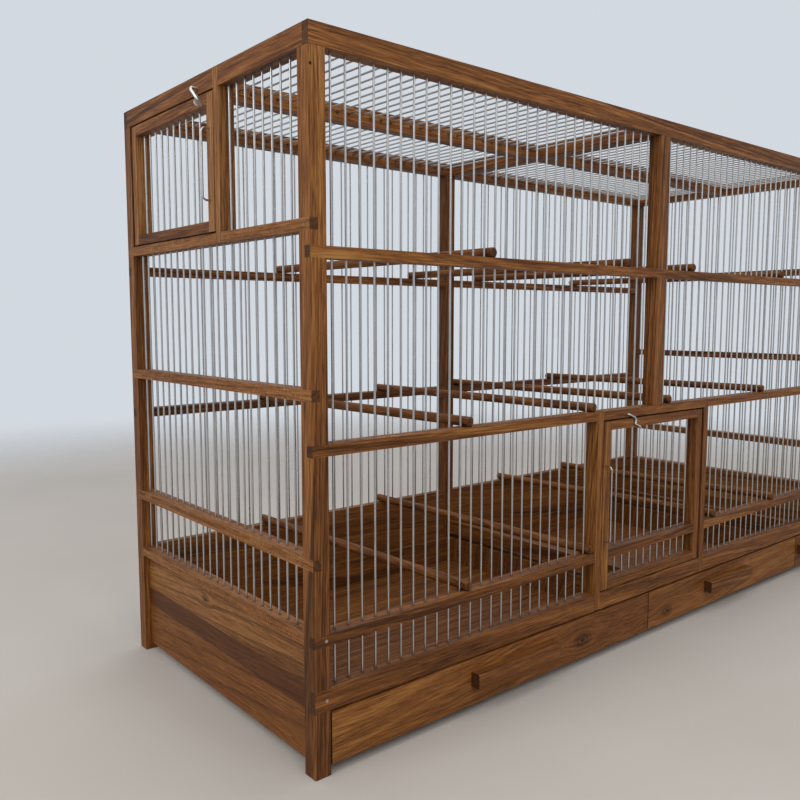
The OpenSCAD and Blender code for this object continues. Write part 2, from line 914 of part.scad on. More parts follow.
module front_door_rails() {
    x1 = front_door_x + opening_stile_w;
    x2 = front_door_end - hinge_stile_w;
    spans = [
        [front_door_z, door_rail_h], [front_low_z, rail_h], [front_door_top - door_rail_h, door_rail_h]
    ];
    color(wood) at_corner() difference() {
        for (s = spans) block([x1, 0, s[0]], [x2, post_w, s[0] + s[1]]);
        front_door_uprights(wire_room);
    }
}

module front_door_wires() {
    color(steel) at_corner() front_door_uprights();
}

module front_door_pull() {
    color(steel) at_corner() front_door_pull_wire();
}

// The front door's hook: its shank turns in the rail over the door
front_hook_x = front_door_x + front_hook_along;
front_hook_z = front_middle_z + front_hook_up;
front_hook_y = -(hook_gap + wire_d / 2);
front_hook_bends = [[0, 0], [11.7, -4.4], [14.4, -8], [13.14, -12.32], [22.5, -15.84], [24.3, -18.24]];

module front_hook_shank(room = 0) {
    y1 = hook_hold + room;
    rod([front_hook_x, front_hook_y, front_hook_z], [front_hook_x, y1, front_hook_z], wire_d + 2 * room);
}

module front_door_hook() {
    points = [for (b = front_hook_bends) [front_hook_x + b[0], front_hook_y, front_hook_z + b[1]]];
    shank_end = [front_hook_x, hook_hold, front_hook_z];
    color(steel) at_corner() bent_wire(concat([shank_end], points), wire_d, wire_d, 1);
}

module side_door_stiles() {
    y1 = side_door_y + opening_stile_w;
    y2 = side_door_end - hinge_stile_w;
    color(wood) at_corner() difference() {
        union() {
            block([0, side_door_y, side_door_z], [post_w, y1, side_door_top]);
            block([0, y2, side_door_z], [post_w, side_door_end, side_door_top]);
        }
        side_hinge_pins(hinge_pin_room);
        side_door_pull_wire(wire_room);
    }
}

module side_door_rails() {
    y1 = side_door_y + opening_stile_w;
    y2 = side_door_end - hinge_stile_w;
    color(wood) at_corner() difference() {
        for (z = [side_door_z, side_door_top - door_rail_h]) block([0, y1, z], [post_w, y2, z + door_rail_h]);
        side_door_uprights(wire_room);
    }
}

module side_door_wires() {
    color(steel) at_corner() side_door_uprights();
}

module side_door_pull() {
    color(steel) at_corner() side_door_pull_wire();
}

// The side door's hook: a thicker wire that leans to the front and ends in a flattened round
side_hook_y = side_door_y + side_hook_along;
side_hook_z = top_z + side_hook_up;
side_hook_x = (side_hook_d + corner_swell) / 2 - side_hook_out;
side_hook_leg = [0.28, 0, -0.96];
side_hook_lean = [0.8432, 0.5376];

module side_hook_shank(room = 0) {
    x1 = hook_hold + room;
    rod([side_hook_x, side_hook_y, side_hook_z], [x1, side_hook_y, side_hook_z], side_hook_d + 2 * room);
}

// The hook before it leans, in the plane of x and z
module upright_side_hook() {
    corner = [side_hook_x, 0, 0];
    elbow = corner - [0, 0, side_hook_d];
    leg_end = elbow + 0.5 * side_hook_drop * side_hook_leg;
    web_start = elbow + 0.2 * side_hook_drop * side_hook_leg;
    web_end = elbow + 0.6 * side_hook_drop * side_hook_leg;
    r = side_hook_disc_d / 2;
    disc = [-(hook_gap + r), -side_hook_drop];
    bent_wire([[hook_hold, 0, 0], corner, elbow, leg_end], 0.8 * side_hook_d, side_hook_d, 1);
    translate(leg_end) rotate([0, acos(side_hook_leg[2]), 0])
        cylinder(d1 = side_hook_d, d2 = side_hook_d / 3, h = 0.3 * side_hook_drop);
    translate([0, side_hook_disc_t / 2, 0]) rotate([90, 0, 0]) linear_extrude(side_hook_disc_t) {
        translate(disc) circle(d = side_hook_disc_d);
        polygon([
            [web_start[0], web_start[2]], disc + r * [0.52, 2.24], disc + r * [0.9, 1.38],
            disc + r * [0.88, 0.38], disc, [web_end[0], web_end[2]]
        ]);
    }
}

module side_door_hook() {
    c = side_hook_lean[0];
    s = side_hook_lean[1];
    color(steel) at_corner() translate([0, side_hook_y, side_hook_z])
        multmatrix([[1, 0, 0, 0], [0, c, s, 0], [0, -s, c, 0], [0, 0, 0, 1]]) upright_side_hook();
}

module drawer_front(x, w) {
    color(wood) at_corner()
        block([x, 0, drawer_front_z], [x + w, drawer_front_t, drawer_front_top]);
}

// An open tray behind a drawer front
module drawer_tray(x, w) {
    low = [x + tray_inset, drawer_front_t, base_top + slide_gap];
    high = [x + w - tray_inset, inner_y - tray_back_gap, base_top + slide_gap + tray_h];
    color(board_wood) at_corner() difference() {
        block(low, high);
        block(low + [tray_wall, tray_wall, tray_bottom], high - [tray_wall, tray_wall, -over]);
    }
}

// A bar handle with bevelled outer edges, along the middle of a front
module drawer_handle(x, w, l, shift = 0) {
    y = handle_bevel - handle_out;
    color(wood) at_corner() translate([x + (w - l) / 2 - shift, 0, handle_z]) rotate([90, 0, 90])
        linear_extrude(l) polygon([
            [0, 0], [0, handle_h], [y, handle_h],
            [-handle_out, handle_h - handle_bevel], [-handle_out, handle_bevel], [y, 0]
        ]);
}

module drawer_left_front() {
    drawer_front(left_drawer_x, left_drawer_w);
}

module drawer_left_tray() {
    drawer_tray(left_drawer_x, left_drawer_w);
}

module drawer_left_handle() {
    drawer_handle(left_drawer_x, left_drawer_w, left_handle_l, left_handle_shift);
}

module drawer_middle_front() {
    drawer_front(middle_drawer_x, middle_drawer_w);
}

module drawer_middle_tray() {
    drawer_tray(middle_drawer_x, middle_drawer_w);
}

module drawer_middle_handle() {
    drawer_handle(middle_drawer_x, middle_drawer_w, middle_handle_l, middle_handle_shift);
}

module drawer_right_front() {
    drawer_front(right_drawer_x, right_drawer_w);
}

module drawer_right_tray() {
    drawer_tray(right_drawer_x, right_drawer_w);
}

module drawer_right_handle() {
    drawer_handle(right_drawer_x, right_drawer_w, right_drawer_w - 2 * right_handle_inset);
}

post_front_left();
post_front_right();
post_back_left();
post_back_right();
post_front_middle();
post_back_middle();
door_post_left();
door_post_right();
side_door_post();
top_rail_front();
top_rail_back();
top_rail_left();
top_rail_right();
top_beam_long();
top_beam_cross();
front_rail_upper();
front_rail_middle();
front_rails_low();
front_rail_bottom();
back_rails();
left_rails();
right_rails();
left_panel_upper_board();
left_panel_lower_board();
right_panel_upper_board();
right_panel_lower_board();
back_panels();
base_board();
floor_cross_rails();
wires_front_left();
wires_front_right();
wires_over_door();
wires_back();
wires_left();
wires_right();
wires_top();
nails();
hinge_pins();
perches_upper();
perches_middle();
perches_low();
front_door_stiles();
front_door_rails();
front_door_wires();
front_door_pull();
front_door_hook();
side_door_stiles();
side_door_rails();
side_door_wires();
side_door_pull();
side_door_hook();
drawer_left_front();
drawer_left_tray();
drawer_left_handle();
drawer_middle_front();
drawer_middle_tray();
drawer_middle_handle();
drawer_right_front();
drawer_right_tray();
drawer_right_handle();
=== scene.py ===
"""Looks of the canary breeding cage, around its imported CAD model.

Every shape is the CAD's own. This script gives each node its material, and adds the camera, floor and light.
"""
import math

import bpy
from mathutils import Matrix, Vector


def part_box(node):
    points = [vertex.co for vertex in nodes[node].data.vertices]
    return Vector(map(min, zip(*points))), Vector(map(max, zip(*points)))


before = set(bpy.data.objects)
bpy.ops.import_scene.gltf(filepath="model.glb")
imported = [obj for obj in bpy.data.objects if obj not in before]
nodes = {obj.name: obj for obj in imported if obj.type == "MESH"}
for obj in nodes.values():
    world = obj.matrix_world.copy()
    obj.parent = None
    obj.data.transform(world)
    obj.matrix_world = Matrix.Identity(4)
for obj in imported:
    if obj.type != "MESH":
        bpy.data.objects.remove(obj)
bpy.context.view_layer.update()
mm = 0.001


def rgb(code):
    """A linear colour from a hex one."""
    parts = [int(code[i:i + 2], 16) / 255 for i in (1, 3, 5)]
    return tuple(c / 12.92 if c <= 0.04045 else ((c + 0.055) / 1.055) ** 2.4 for c in parts)


def grey(level):
    return (level,) * 3


# ---------------------------------------------------------------- node helpers

class Tree:
    """Short calls for building one material's node tree."""

    def __init__(self, name):
        self.material = bpy.data.materials.new(name)
        self.material.use_nodes = True
        self.tree = self.material.node_tree
        self.shader = self.tree.nodes["Principled BSDF"]
        self.place = self.add("ShaderNodeTexCoord").outputs["Object"]

    def add(self, kind, **settings):
        node = self.tree.nodes.new(kind)
        for key, value in settings.items():
            setattr(node, key, value)
        return node

    def feed(self, socket, value):
        """Links a socket to another one, or sets it to a plain value."""
        if isinstance(value, bpy.types.NodeSocket):
            self.tree.links.new(value, socket)
        else:
            socket.default_value = value

    def math(self, operation, a, b=0.0, c=0.0, clamp=False):
        node = self.add("ShaderNodeMath", operation=operation, use_clamp=clamp)
        for socket, value in zip(node.inputs, (a, b, c)):
            self.feed(socket, value)
        return node.outputs[0]

    def off_half(self, value):
        """How far a noise lies from its middle."""
        return self.math("SUBTRACT", value, 0.5)

    def vector(self, operation, a, b=(0, 0, 0)):
        node = self.add("ShaderNodeVectorMath", operation=operation)
        self.feed(node.inputs[0], a)
        self.feed(node.inputs[1], b)
        return node.outputs["Value" if operation == "LENGTH" else "Vector"]

    def split(self, vector):
        node = self.add("ShaderNodeSeparateXYZ")
        self.feed(node.inputs[0], vector)
        return node.outputs

    def join(self, *parts):
        node = self.add("ShaderNodeCombineXYZ")
        for socket, value in zip(node.inputs, parts):
            self.feed(socket, value)
        return node.outputs[0]

    def turned(self, value, angles):
        node = self.add("ShaderNodeMapping", vector_type="POINT")
        node.inputs["Rotation"].default_value = angles
        self.feed(node.inputs["Vector"], value)
        return node.outputs[0]

    def noise(self, place, scale, detail=2.0, roughness=0.5, distortion=0.0, output="Fac"):
        node = self.add("ShaderNodeTexNoise")
        self.feed(node.inputs["Vector"], place)
        for name, number in (("Scale", scale), ("Detail", detail), ("Roughness", roughness),
                             ("Distortion", distortion)):
            node.inputs[name].default_value = number
        return node.outputs[output]

    def stretched(self, place, scales, *settings):
        """Noise with a scale of its own along each axis."""
        return self.noise(self.vector("MULTIPLY", place, scales), 1, *settings)

    def span(self, value, low, high, out_low=0.0, out_high=1.0, smooth=False):
        node = self.add("ShaderNodeMapRange", clamp=True)
        if smooth:
            node.interpolation_type = "SMOOTHSTEP"
        for name, number in (("Value", value), ("From Min", low), ("From Max", high),
                             ("To Min", out_low), ("To Max", out_high)):
            self.feed(node.inputs[name], number)
        return node.outputs["Result"]

    def ramp(self, value, stops):
        node = self.add("ShaderNodeValToRGB")
        ramp = node.color_ramp
        while len(ramp.elements) < len(stops):
            ramp.elements.new(0.5)
        for element, (at, colour) in zip(ramp.elements, stops):
            element.position = at
            element.color = (*colour, 1)
        self.feed(node.inputs[0], value)
        return node.outputs[0]

    def mix(self, factor, a, b):
        node = self.add("ShaderNodeMix", data_type="RGBA")
        self.feed(node.inputs["Factor"], factor)
        for socket, value in ((node.inputs[6], a), (node.inputs[7], b)):
            self.feed(socket, (*value, 1) if isinstance(value, tuple) else value)
        return node.outputs[2]

    def bump(self, height, distance, strength):
        node = self.add("ShaderNodeBump")
        node.inputs["Distance"].default_value = distance
        node.inputs["Strength"].default_value = strength
        self.feed(node.inputs["Height"], height)
        self.feed(self.shader.inputs["Normal"], node.outputs[0])


# ---------------------------------------------------------------- wood

# From each grain axis to X
GRAIN_TURNS = {"X": (0, 0, 0), "Y": (0, 0, -math.pi / 2), "Z": (0, math.pi / 2, 0)}

# Four colours from the darkest grain to the palest, and where they lie in the tint
BROWN = (rgb("#43260f"), rgb("#693e1b"), rgb("#865427"), rgb("#a8773e"))
HONEY = (rgb("#4c2e16"), rgb("#794e27"), rgb("#9a693a"), rgb("#b68a56"))
PALETTE_PLACES = (0.08, 0.38, 0.62, 0.94)
HEARTWOOD = rgb("#40200f")
END_GRAIN = rgb("#2c150a")
PORE = rgb("#2d160a")
RAY_FLECK = rgb("#b58a58")
KNOT = rgb("#2c150a")
# the black middle of a knot, and painted shade in a nail hole
KNOT_CORE_AND_HOLE_SHADE = rgb("#150c07")
# painted shade for the rims of the wire holes, where the wires enter the wood
HOLE_RIM_SHADE = rgb("#22120a")

# Noise scales along the grain, across it and in depth, per metre
SWAY_SCALES = (4, 18, 18)
BAND_SCALES = (1.5, 55, 20)
STREAK_SCALES = (2.6, 330, 120)
LATE_WOOD_SCALES = (1.7, 520, 150)
FIBRE_SCALES = (22, 640, 640)
PORE_SCALES = (60, 1150, 1150)
RAY_SCALES = (360, 900, 160)
RAY_AREA_SCALES = (42, 130, 130)

# How far each of these moves the tint, which runs from 0 at the darkest to 1
BAND_TINT = 0.75
STREAK_TINT = 1.0
FIBRE_TINT = 0.6
LATE_WOOD_TINT = -0.22
TONE_TINT = 1.2

SWAY = 12 * mm
RAY_SLANT = 0.5
END_SKIN = 0.35 * mm
# inner and outer radius of the painted shade round each wire hole
RIM_INNER = 1.3 * mm
RIM_OUTER = 2.3 * mm
SATIN = 0.46
seed = 0


def knot_marks(t, along, grain, knots):
    """Pushes the grain aside round each knot, and says how dark the knots are."""
    dark = 0.0
    for place, size in knots:
        from_knot = t.vector("SUBTRACT", t.place, place)
        squeeze = [1.0, 1.0, 1.0]
        squeeze["XYZ".index(grain)] = 0.6
        reach = t.vector("LENGTH", t.vector("MULTIPLY", from_knot, squeeze))
        uneven = t.noise(t.place, 0.8 / size)
        reach = t.math("MULTIPLY_ADD", t.off_half(uneven), size * 0.7, reach)
        near = t.span(reach, size * 3.2, 0, smooth=True)
        push = t.vector("MULTIPLY", t.turned(from_knot, GRAIN_TURNS[grain]), grey(-0.75))
        shift = t.add("ShaderNodeVectorMath", operation="SCALE")
        t.feed(shift.inputs[0], push)
        t.feed(shift.inputs["Scale"], near)
        along = t.vector("ADD", along, shift.outputs[0])
        core = t.span(reach, size * 0.5, size * 0.15, 0, 0.9, smooth=True)
        heart = t.span(reach, size * 1.2, size * 0.8, 0, 0.55, smooth=True)
        rings = t.math("MULTIPLY", t.span(reach, size * 2.4, size * 0.5, 0, 0.2, smooth=True),
                       t.math("SINE", t.math("MULTIPLY", reach, 13 / size)))
        mark = t.math("MAXIMUM", core, heart)
        dark = t.math("MAXIMUM", dark, t.math("ADD", mark, rings, clamp=True))
    return along, dark


def hole_rim_shade(t, spot, rows):
    """Painted shade on the rims where wires enter the wood; see the rows of holes below."""
    mark = 0.0
    for row, middle, first, step, across, place, limit, low, high in rows:
        u = spot[row]
        if middle is not None:
            u = t.math("ABSOLUTE", t.math("SUBTRACT", u, middle))
        aside = t.math("PINGPONG", t.math("SUBTRACT", u, first), step / 2)
        v = t.math("SUBTRACT", spot[across], place)
        far = t.math("SQRT", t.math("ADD", t.math("MULTIPLY", aside, aside), t.math("MULTIPLY", v, v)))
        rim = t.span(far, RIM_OUTER, RIM_INNER, smooth=True)
        inside = t.math("MULTIPLY", t.math("GREATER_THAN", spot[limit], low),
                        t.math("LESS_THAN", spot[limit], high))
        mark = t.math("MAXIMUM", mark, t.math("MULTIPLY", rim, inside))
    return mark


def ring_noises(t, along, shift, pith, tilt):
    """Colour bands, streaks and thin late wood lines, each at equal distances from the pith."""
    parts = t.split(along)
    side = t.math("ADD", t.math("MULTIPLY", parts[0], tilt[0]), parts[1])
    deep = t.math("ADD", t.math("MULTIPLY", parts[0], tilt[1]), parts[2])
    from_pith = t.join(t.math("ADD", side, pith[0]), t.math("ADD", deep, pith[1]))
    radius = t.vector("LENGTH", from_pith)
    place = t.vector("ADD", t.join(parts[0], radius, t.math("MULTIPLY", side, 0.15)), shift)
    bands = t.stretched(place, BAND_SCALES, 2, 0.5)
    streaks = t.stretched(place, STREAK_SCALES, 3, 0.62)
    late = t.span(t.stretched(place, LATE_WOOD_SCALES, 1, 0.5), 0.57, 0.66, smooth=True)
    return bands, streaks, late


def shade_marks(t, spot, axis, band_noise, shades):
    """How strongly bands of darker heartwood show."""
    dark = 0.0
    for base, top, soft_base, soft_top, slope, strength in shades:
        level = t.math("MULTIPLY_ADD", spot[axis], -slope, spot[2])
        level = t.math("MULTIPLY_ADD", t.off_half(band_noise), 3 * soft_base, level)
        up = t.span(level, base - soft_base, base + soft_base, smooth=True)
        down = t.span(level, top + soft_top, top - soft_top, smooth=True)
        dark = t.math("MAXIMUM", dark, t.math("MULTIPLY", t.math("MULTIPLY", up, down), strength))
    return dark


def ray_marks(t, place, share):
    """Pale ray flecks, aslant in the grain."""
    ray = t.stretched(t.turned(place, (0, 0, RAY_SLANT)), RAY_SCALES, 1, 0.5, 0.9)
    ray = t.span(t.math("ABSOLUTE", t.off_half(ray)), 0.035, 0.01)
    area = t.span(t.stretched(place, RAY_AREA_SCALES, 2), 0.70 - share, 0.80 - share)
    return t.math("MULTIPLY", ray, area)


def wood(node, grain, tone=1.0, palette=BROWN, bands=1.0, streak=1.0, pith=(0.05, 0.04), tilt=(0.02, 0.03),
         drift=0.0, knots=(), spots=(), shades=(), holes=(), flecks=0.0, fleck_share=0.2):
    """Oiled hardwood for one node, with its grain along one axis.

    tone: lightens or darkens the piece; drift: how much lighter it gets per metre of its grain
    bands, streak: strengths of its broad colour bands and of its lines
    pith: metres from the middle of the piece to the axis that the growth rings run round
    tilt: how far that axis leans from the grain
    knots, spots: (place, size) in metres, spots for the black middle of a knot and for painted shade in a nail
    hole
    shades: dark bands across Z, each (low, high, softness low, softness high, slope along the grain, strength)
    holes: rows of wire holes, whose rims get painted shade
    flecks, fleck_share: strength of the pale ray flecks, and how much of the piece has them
    """
    global seed
    seed += 1
    shift = (seed * 1.37 % 5, seed * 0.731 % 3, seed * 2.113 % 4)
    t = Tree("wood_" + node)
    axis = "XYZ".index(grain)
    low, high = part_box(node)
    centre = [(a + b) / 2 for a, b in zip(low, high)]
    spot = t.split(t.place)

    # the grain's own place, pushed aside by knots and swaying slowly
    along = t.turned(t.vector("SUBTRACT", t.place, centre), GRAIN_TURNS[grain])
    along, knot_dark = knot_marks(t, along, grain, knots)
    waves = t.noise(t.vector("MULTIPLY", t.vector("ADD", along, shift), SWAY_SCALES), 1, 1, output="Color")
    sway = t.vector("MULTIPLY", t.vector("SUBTRACT", waves, grey(0.5)), (0, SWAY, SWAY))
    along = t.vector("ADD", along, sway)
    band_noise, streaks, late = ring_noises(t, along, shift, pith, tilt)
    fibre_place = t.vector("ADD", along, shift)
    fibre = t.stretched(fibre_place, FIBRE_SCALES, 2, 0.7)
    pores = t.stretched(fibre_place, PORE_SCALES, 1, 0.5)

    tint = t.math("MULTIPLY", t.off_half(band_noise), BAND_TINT * bands)
    tint = t.math("MULTIPLY_ADD", t.off_half(streaks), STREAK_TINT * streak, tint)
    tint = t.math("MULTIPLY_ADD", t.off_half(fibre), FIBRE_TINT * (1 + streak), tint)
    tint = t.math("ADD", tint, 0.5 + (tone - 1) * TONE_TINT)
    if drift:
        from_middle = t.math("SUBTRACT", spot[axis], centre[axis])
        tint = t.math("MULTIPLY_ADD", from_middle, drift * TONE_TINT, tint)
    tint = t.math("MULTIPLY_ADD", late, LATE_WOOD_TINT, tint)
    colour = t.ramp(tint, list(zip(PALETTE_PLACES, palette)))

    if shades:
        dark = shade_marks(t, spot, axis, band_noise, shades)
        colour = t.mix(t.math("MULTIPLY", dark, 0.72), colour, HEARTWOOD)
    pore = t.math("MULTIPLY", t.span(pores, 0.56, 0.68), t.span(streaks, 0.66, 0.4, 0.35, 1))
    colour = t.mix(t.math("MULTIPLY", pore, 0.6), colour, PORE)
    if flecks:
        colour = t.mix(t.math("MULTIPLY", ray_marks(t, fibre_place, fleck_share), flecks), colour, RAY_FLECK)
    if knots:
        colour = t.mix(t.math("MULTIPLY", knot_dark, 0.92), colour, KNOT)
    # spots: black knot middles, and painted shade in nail holes
    for place, size in spots:
        far = t.vector("LENGTH", t.vector("SUBTRACT", t.place, place))
        colour = t.mix(t.span(far, size * 1.1, size * 0.6, smooth=True), colour, KNOT_CORE_AND_HOLE_SHADE)
    off_middle = t.math("ABSOLUTE", t.math("SUBTRACT", spot[axis], centre[axis]))
    end = t.math("GREATER_THAN", off_middle, (high[axis] - low[axis]) / 2 - END_SKIN)
    colour = t.mix(t.math("MULTIPLY", end, 0.72), colour, END_GRAIN)
    # painted shade round the wire holes
    if holes:
        colour = t.mix(t.math("MULTIPLY", hole_rim_shade(t, spot, holes), 0.75), colour, HOLE_RIM_SHADE)

    t.feed(t.shader.inputs["Base Color"], colour)
    sheen = t.math("ADD", t.math("MULTIPLY", streaks, 0.6), t.math("MULTIPLY", fibre, 0.4))
    t.feed(t.shader.inputs["Roughness"], t.span(sheen, 0.3, 0.7, SATIN + 0.16, SATIN))
    t.shader.inputs["Specular IOR Level"].default_value = 0.18
    height = t.math("MULTIPLY_ADD", pore, -1.0, t.math("MULTIPLY", streaks, 0.5))
    t.bump(t.math("MULTIPLY_ADD", fibre, 0.35, height), 0.16 * mm, 0.8)
    return t.material


# ---------------------------------------------------------------- steel

BLOOM_SCALES = (300, 300, 70)
DRAWING_MARK_SCALES = (2600, 2600, 120)


def steel(name, colour, rough, mottle=0.12):
    """Bright wire with the faint bloom of its zinc, and drawing marks along it."""
    t = Tree(name)
    bloom = t.stretched(t.place, BLOOM_SCALES, 3, 0.6)
    marks = t.stretched(t.place, DRAWING_MARK_SCALES, 1)
    shade = t.math("ADD", t.math("MULTIPLY", bloom, 0.7), t.math("MULTIPLY", marks, 0.3))
    dark = tuple(c * (1 - 2.2 * mottle) for c in colour)
    t.feed(t.shader.inputs["Base Color"], t.ramp(shade, [(0.3, dark), (0.62, colour)]))
    t.feed(t.shader.inputs["Roughness"], t.span(shade, 0.3, 0.7, rough + 0.1, rough - 0.04))
    t.shader.inputs["Metallic"].default_value = 1.0
    t.bump(marks, 0.03 * mm, 0.4)
    return t.material


# ---------------------------------------------------------------- rows of wire holes
#
# Each row is: the axis that it runs along, the middle about which it is the same on both sides (or None), one hole
# and the step to the next, the axis across the row and the row's place there, and an axis with the limits between
# which the painted rim shade shows.

# The CAD's own corner frame starts at the near left foot; this shift leads to the row frame
corner = Vector((-495.5, -182.5, 0)) * mm
pitch = 15 * mm
middle_x = corner.x + 500 * mm
front_hole = 473.7 * mm     # the corner wire, from the middle
side_hole = corner.y + 23.5 * mm
wire_inset = 8              # from an outer face to its wires, mm
right_wires = 1000 - wire_inset
back_wires = 376 - wire_inset
top_wires = 616 * mm
everywhere = (2, -1.0, 1.0)
underside = (2, -1.0, 607.5 * mm)


def front_holes(y, limits=everywhere):
    return (0, middle_x, front_hole, pitch, 1, corner.y + y * mm, *limits)


def side_holes(x, limits=everywhere):
    return (1, None, side_hole, pitch, 0, corner.x + x * mm, *limits)


def top_holes(limits=everywhere):
    return (0, middle_x, front_hole, pitch, 2, top_wires, *limits)


front_door_holes = (0, None, corner.x + 431.47 * mm, pitch, 1, corner.y + wire_inset * mm,
                    0, corner.x + 424 * mm, 1.0)
side_door_holes = (1, None, corner.y + 203.57 * mm, pitch, 0, corner.x + wire_inset * mm,
                   1, corner.y + 196 * mm, 1.0)
top_front_inner = (1, corner.y + 15.5 * mm, 1.0)
top_back_inner = (1, -1.0, corner.y + 360.5 * mm)

# ---------------------------------------------------------------- the cage's materials

PERCH = dict(tone=0.95, bands=0.5, streak=0.7)

# Grain axis and looks of each wooden node
WOODS = {
    "post_front_left": ("Z", dict(
        tone=1.01, bands=0.6, streak=1.2, drift=0.45, pith=(0.02, 0.05),
        # this spot is painted shade in a nail hole
        spots=[((-0.4935, -0.1825, 0.592), 0.0016)])),
    "post_front_right": ("Z", dict(tone=0.99, pith=(0.04, 0.03))),
    "post_back_left": ("Z", dict(tone=0.97, pith=(0.03, 0.05))),
    "post_back_right": ("Z", dict(tone=0.96)),
    "post_front_middle": ("Z", dict(tone=0.96, pith=(0.06, 0.02), bands=0.8)),
    "post_back_middle": ("Z", dict(tone=0.92, pith=(0.03, 0.05))),
    "door_post_left": ("Z", dict(tone=1.09, pith=(0.03, 0.05))),
    "door_post_right": ("Z", dict(tone=0.96, pith=(0.06, 0.02))),
    "side_door_post": ("Z", dict(tone=0.98, palette=HONEY, bands=0.6)),
    "top_rail_front": ("X", dict(
        tone=1.02, bands=1.2, pith=(0.03, 0.05),
        holes=[front_holes(wire_inset, underside), top_holes(top_front_inner)])),
    "top_rail_back": ("X", dict(
        tone=0.9, holes=[front_holes(back_wires, underside), top_holes(top_back_inner)])),
    "top_rail_left": ("Y", dict(tone=0.97, pith=(0.04, 0.03), holes=[side_holes(wire_inset, underside)])),
    "top_rail_right": ("Y", dict(tone=0.95, holes=[side_holes(right_wires, underside)])),
    "top_beam_long": ("X", dict(tone=0.93, holes=[top_holes()])),
    "top_beam_cross": ("Y", dict(tone=0.92)),
    "front_rail_upper": ("X", dict(tone=1.03, pith=(0.05, 0.02), holes=[front_holes(wire_inset)])),
    "front_rail_middle": ("X", dict(tone=1.02, pith=(0.03, 0.06), holes=[front_holes(wire_inset)])),
    "front_rails_low": ("X", dict(tone=0.95, holes=[front_holes(wire_inset)])),
    "front_rail_bottom": ("X", dict(
        tone=0.94, pith=(0.03, 0.02), tilt=(0.01, 0.05), holes=[front_holes(wire_inset)])),
    "back_rails": ("X", dict(tone=0.88, holes=[front_holes(back_wires)])),
    "left_rails": ("Y", dict(
        tone=1.0, bands=0.7, holes=[side_holes(wire_inset)], flecks=0.55, fleck_share=0.3)),
    "right_rails": ("Y", dict(tone=0.95, holes=[side_holes(right_wires)])),
    "left_panel_upper_board": ("Y", dict(
        tone=0.98, palette=HONEY, bands=0.8, streak=0.45, pith=(0.02, 0.05), tilt=(0.02, 0.06),
        knots=[((-0.4885, 0.0335, 0.1010), 0.0050)],
        spots=[((-0.4885, 0.0330, 0.0990), 0.0018)],
        shades=[(0.106, 0.2, 0.005, 0.001, 0, 0.3),
                (0.0, 0.0715, 0.001, 0.004, -0.18, 0.55),
                (0.0, 0.095, 0.001, 0.012, 0, 0.3)])),
    "left_panel_lower_board": ("Y", dict(
        tone=1.04, bands=0.8, streak=0.3, pith=(0.02, 0.04), tilt=(0.01, 0.09),
        shades=[(0.0540, 0.2, 0.0007, 0.001, 0.008, 1.0),
                (0.0445, 0.2, 0.008, 0.001, -0.064, 0.3)])),
    "right_panel_upper_board": ("Y", dict(
        tone=0.98, palette=HONEY, streak=0.5, pith=(0.03, 0.04), tilt=(0.02, 0.05))),
    "right_panel_lower_board": ("Y", dict(tone=1.02, streak=0.4, pith=(0.02, 0.04), tilt=(0.01, 0.07))),
    "back_panels": ("X", dict(
        tone=0.97, streak=0.5, pith=(0.05, 0.02), tilt=(0.03, 0.04), holes=[front_holes(back_wires)])),
    "base_board": ("X", dict(tone=0.93, streak=0.6)),
    "floor_cross_rails": ("Y", dict(tone=0.92)),
    "perches_upper": ("Y", PERCH),
    "perches_middle": ("Y", PERCH),
    "perches_low": ("Y", PERCH),
    "front_door_stiles": ("Z", dict(tone=1.03, pith=(0.05, 0.03))),
    "front_door_rails": ("X", dict(tone=0.97, holes=[front_door_holes])),
    "side_door_stiles": ("Z", dict(tone=1.0, palette=HONEY, bands=0.6, pith=(0.05, 0.03))),
    "side_door_rails": ("Y", dict(tone=1.0, holes=[side_door_holes])),
    "drawer_left_front": ("X", dict(
        tone=1.04, drift=-0.4, bands=0.9, streak=0.6, pith=(0.025, 0.018), tilt=(0.02, -0.16),
        knots=[((-0.1311, -0.1825, 0.0292), 0.0095)])),
    "drawer_left_tray": ("X", dict(tone=0.93, bands=0.6, pith=(0.09, 0.02), tilt=(0.01, 0.02))),
    "drawer_left_handle": ("X", dict(tone=0.98, streak=0.5)),
    "drawer_middle_front": ("X", dict(
        tone=1.02, bands=0.9, streak=0.6, pith=(0.03, 0.01), tilt=(0.02, -0.11),
        knots=[((0.0410, -0.1825, 0.0233), 0.0075)])),
    "drawer_middle_tray": ("X", dict(tone=0.92, bands=0.6, pith=(0.09, 0.03), tilt=(0.01, 0.02))),
    "drawer_middle_handle": ("X", dict(tone=0.97, streak=0.5)),
    "drawer_right_front": ("X", dict(tone=1.0, bands=1.1, pith=(0.03, 0.02), tilt=(0.02, 0.12))),
    "drawer_right_tray": ("X", dict(tone=0.92, bands=0.6, pith=(0.09, 0.02))),
    "drawer_right_handle": ("X", dict(tone=0.97, streak=0.5)),
}


def dress(name, material):
    obj = nodes[name]
    obj.data.materials.clear()
    obj.data.materials.append(material)
    for face in obj.data.polygons:
        face.material_index = 0


for name, (grain, looks) in WOODS.items():
    dress(name, wood(name, grain, **looks))

wire = steel("zinc_wire", (0.50, 0.485, 0.475), 0.27)
hook_wire = steel("plated_hook", (0.62, 0.62, 0.60), 0.34, 0.08)
nail_steel = steel("bare_nail", (0.50, 0.48, 0.46), 0.38)
for name in nodes:
    if "wires" in name or name.endswith("_pull"):
        dress(name, wire)
    elif name.endswith("_hook"):
        dress(name, hook_wire)
dress("nails", nail_steel)
dress("hinge_pins", nail_steel)

# ---------------------------------------------------------------- camera, fitted to the photograph

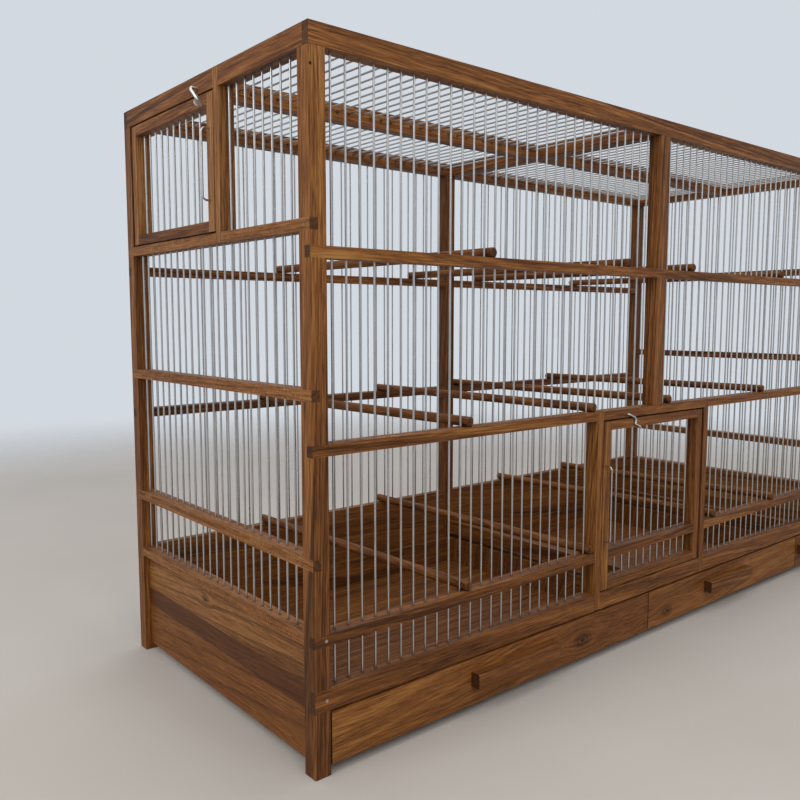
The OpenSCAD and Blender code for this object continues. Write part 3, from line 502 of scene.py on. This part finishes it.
scene = bpy.context.scene
cam_data = bpy.data.cameras.new("camera")
cam_data.sensor_width = 36
cam_data.lens = 36.27
camera = bpy.data.objects.new("camera", cam_data)
camera.location = (-0.8581, -0.7288, 0.3926)
camera.rotation_euler = (math.radians(84.28), 0, math.radians(-39.86))
scene.collection.objects.link(camera)
scene.camera = camera

# ---------------------------------------------------------------- floor, clear towards its edge

FLOOR_SIZE = 14
FADE_START, FADE_END = 1.1, 2.6

bpy.ops.mesh.primitive_plane_add(size=FLOOR_SIZE, location=(0, 0, 0))
floor = bpy.context.object
floor.name = "floor"
ground = Tree("pale_floor")
weave = ground.noise(ground.place, 900)
ground.feed(ground.shader.inputs["Base Color"],
            ground.ramp(ground.noise(ground.place, 2.5, 3), [(0.3, rgb("#b6b0a9")), (0.7, rgb("#beb8b2"))]))
ground.shader.inputs["Roughness"].default_value = 0.75
ground.bump(weave, 0.3 * mm, 0.3)
clear = ground.add("ShaderNodeBsdfTransparent")
fade = ground.add("ShaderNodeMixShader")
away = ground.span(ground.vector("LENGTH", ground.place), FADE_START, FADE_END, smooth=True)
ground.feed(fade.inputs[0], away)
ground.feed(fade.inputs[1], ground.shader.outputs[0])
ground.feed(fade.inputs[2], clear.outputs[0])
ground.feed(ground.tree.nodes["Material Output"].inputs["Surface"], fade.outputs[0])
floor.data.materials.append(ground.material)

# ---------------------------------------------------------------- light

world = bpy.data.worlds.new("soft_room")
scene.world = world
world.use_nodes = True
room = world.node_tree
room.nodes.clear()


def background(colour, strength):
    node = room.nodes.new("ShaderNodeBackground")
    node.inputs["Color"].default_value = (*colour, 1)
    node.inputs["Strength"].default_value = strength
    return node.outputs[0]


# Camera, mirror and clear rays see the backdrop, and all others the soft light of the room
path = room.nodes.new("ShaderNodeLightPath")
seen = None
for ray_kind in ("Is Camera Ray", "Is Glossy Ray", "Is Transmission Ray"):
    most = room.nodes.new("ShaderNodeMath")
    most.operation = "MAXIMUM"
    room.links.new(path.outputs[ray_kind], most.inputs[0])
    if seen:
        room.links.new(seen, most.inputs[1])
    else:
        most.inputs[1].default_value = 0
    seen = most.outputs[0]
pick = room.nodes.new("ShaderNodeMixShader")
room.links.new(seen, pick.inputs[0])
room.links.new(background((0.95, 0.97, 1.0), 0.46), pick.inputs[1])
room.links.new(background(rgb("#d3d9e0"), 1.0), pick.inputs[2])
output = room.nodes.new("ShaderNodeOutputWorld")
room.links.new(pick.outputs[0], output.inputs[0])


def lamp(name, place, target, size, power, colour):
    data = bpy.data.lights.new(name, "AREA")
    data.shape = "SQUARE"
    data.size = size
    data.energy = power
    data.color = colour
    obj = bpy.data.objects.new(name, data)
    obj.location = place
    obj.rotation_euler = (Vector(target) - Vector(place)).to_track_quat("-Z", "Y").to_euler()
    scene.collection.objects.link(obj)


lamp("window_left", (-2.2, -0.3, 1.7), (0, 0, 0.3), 1.5, 27, (1.0, 0.98, 0.95))
lamp("ceiling", (0.4, 0.3, 2.6), (0, 0, 0.3), 2.4, 22, (1.0, 0.99, 0.97))
lamp("front_fill", (-0.4, -2.2, 2.0), (0.1, -0.1, 0.2), 1.6, 24, (1.0, 0.98, 0.95))

scene.view_settings.view_transform = "Standard"
scene.view_settings.look = "None"
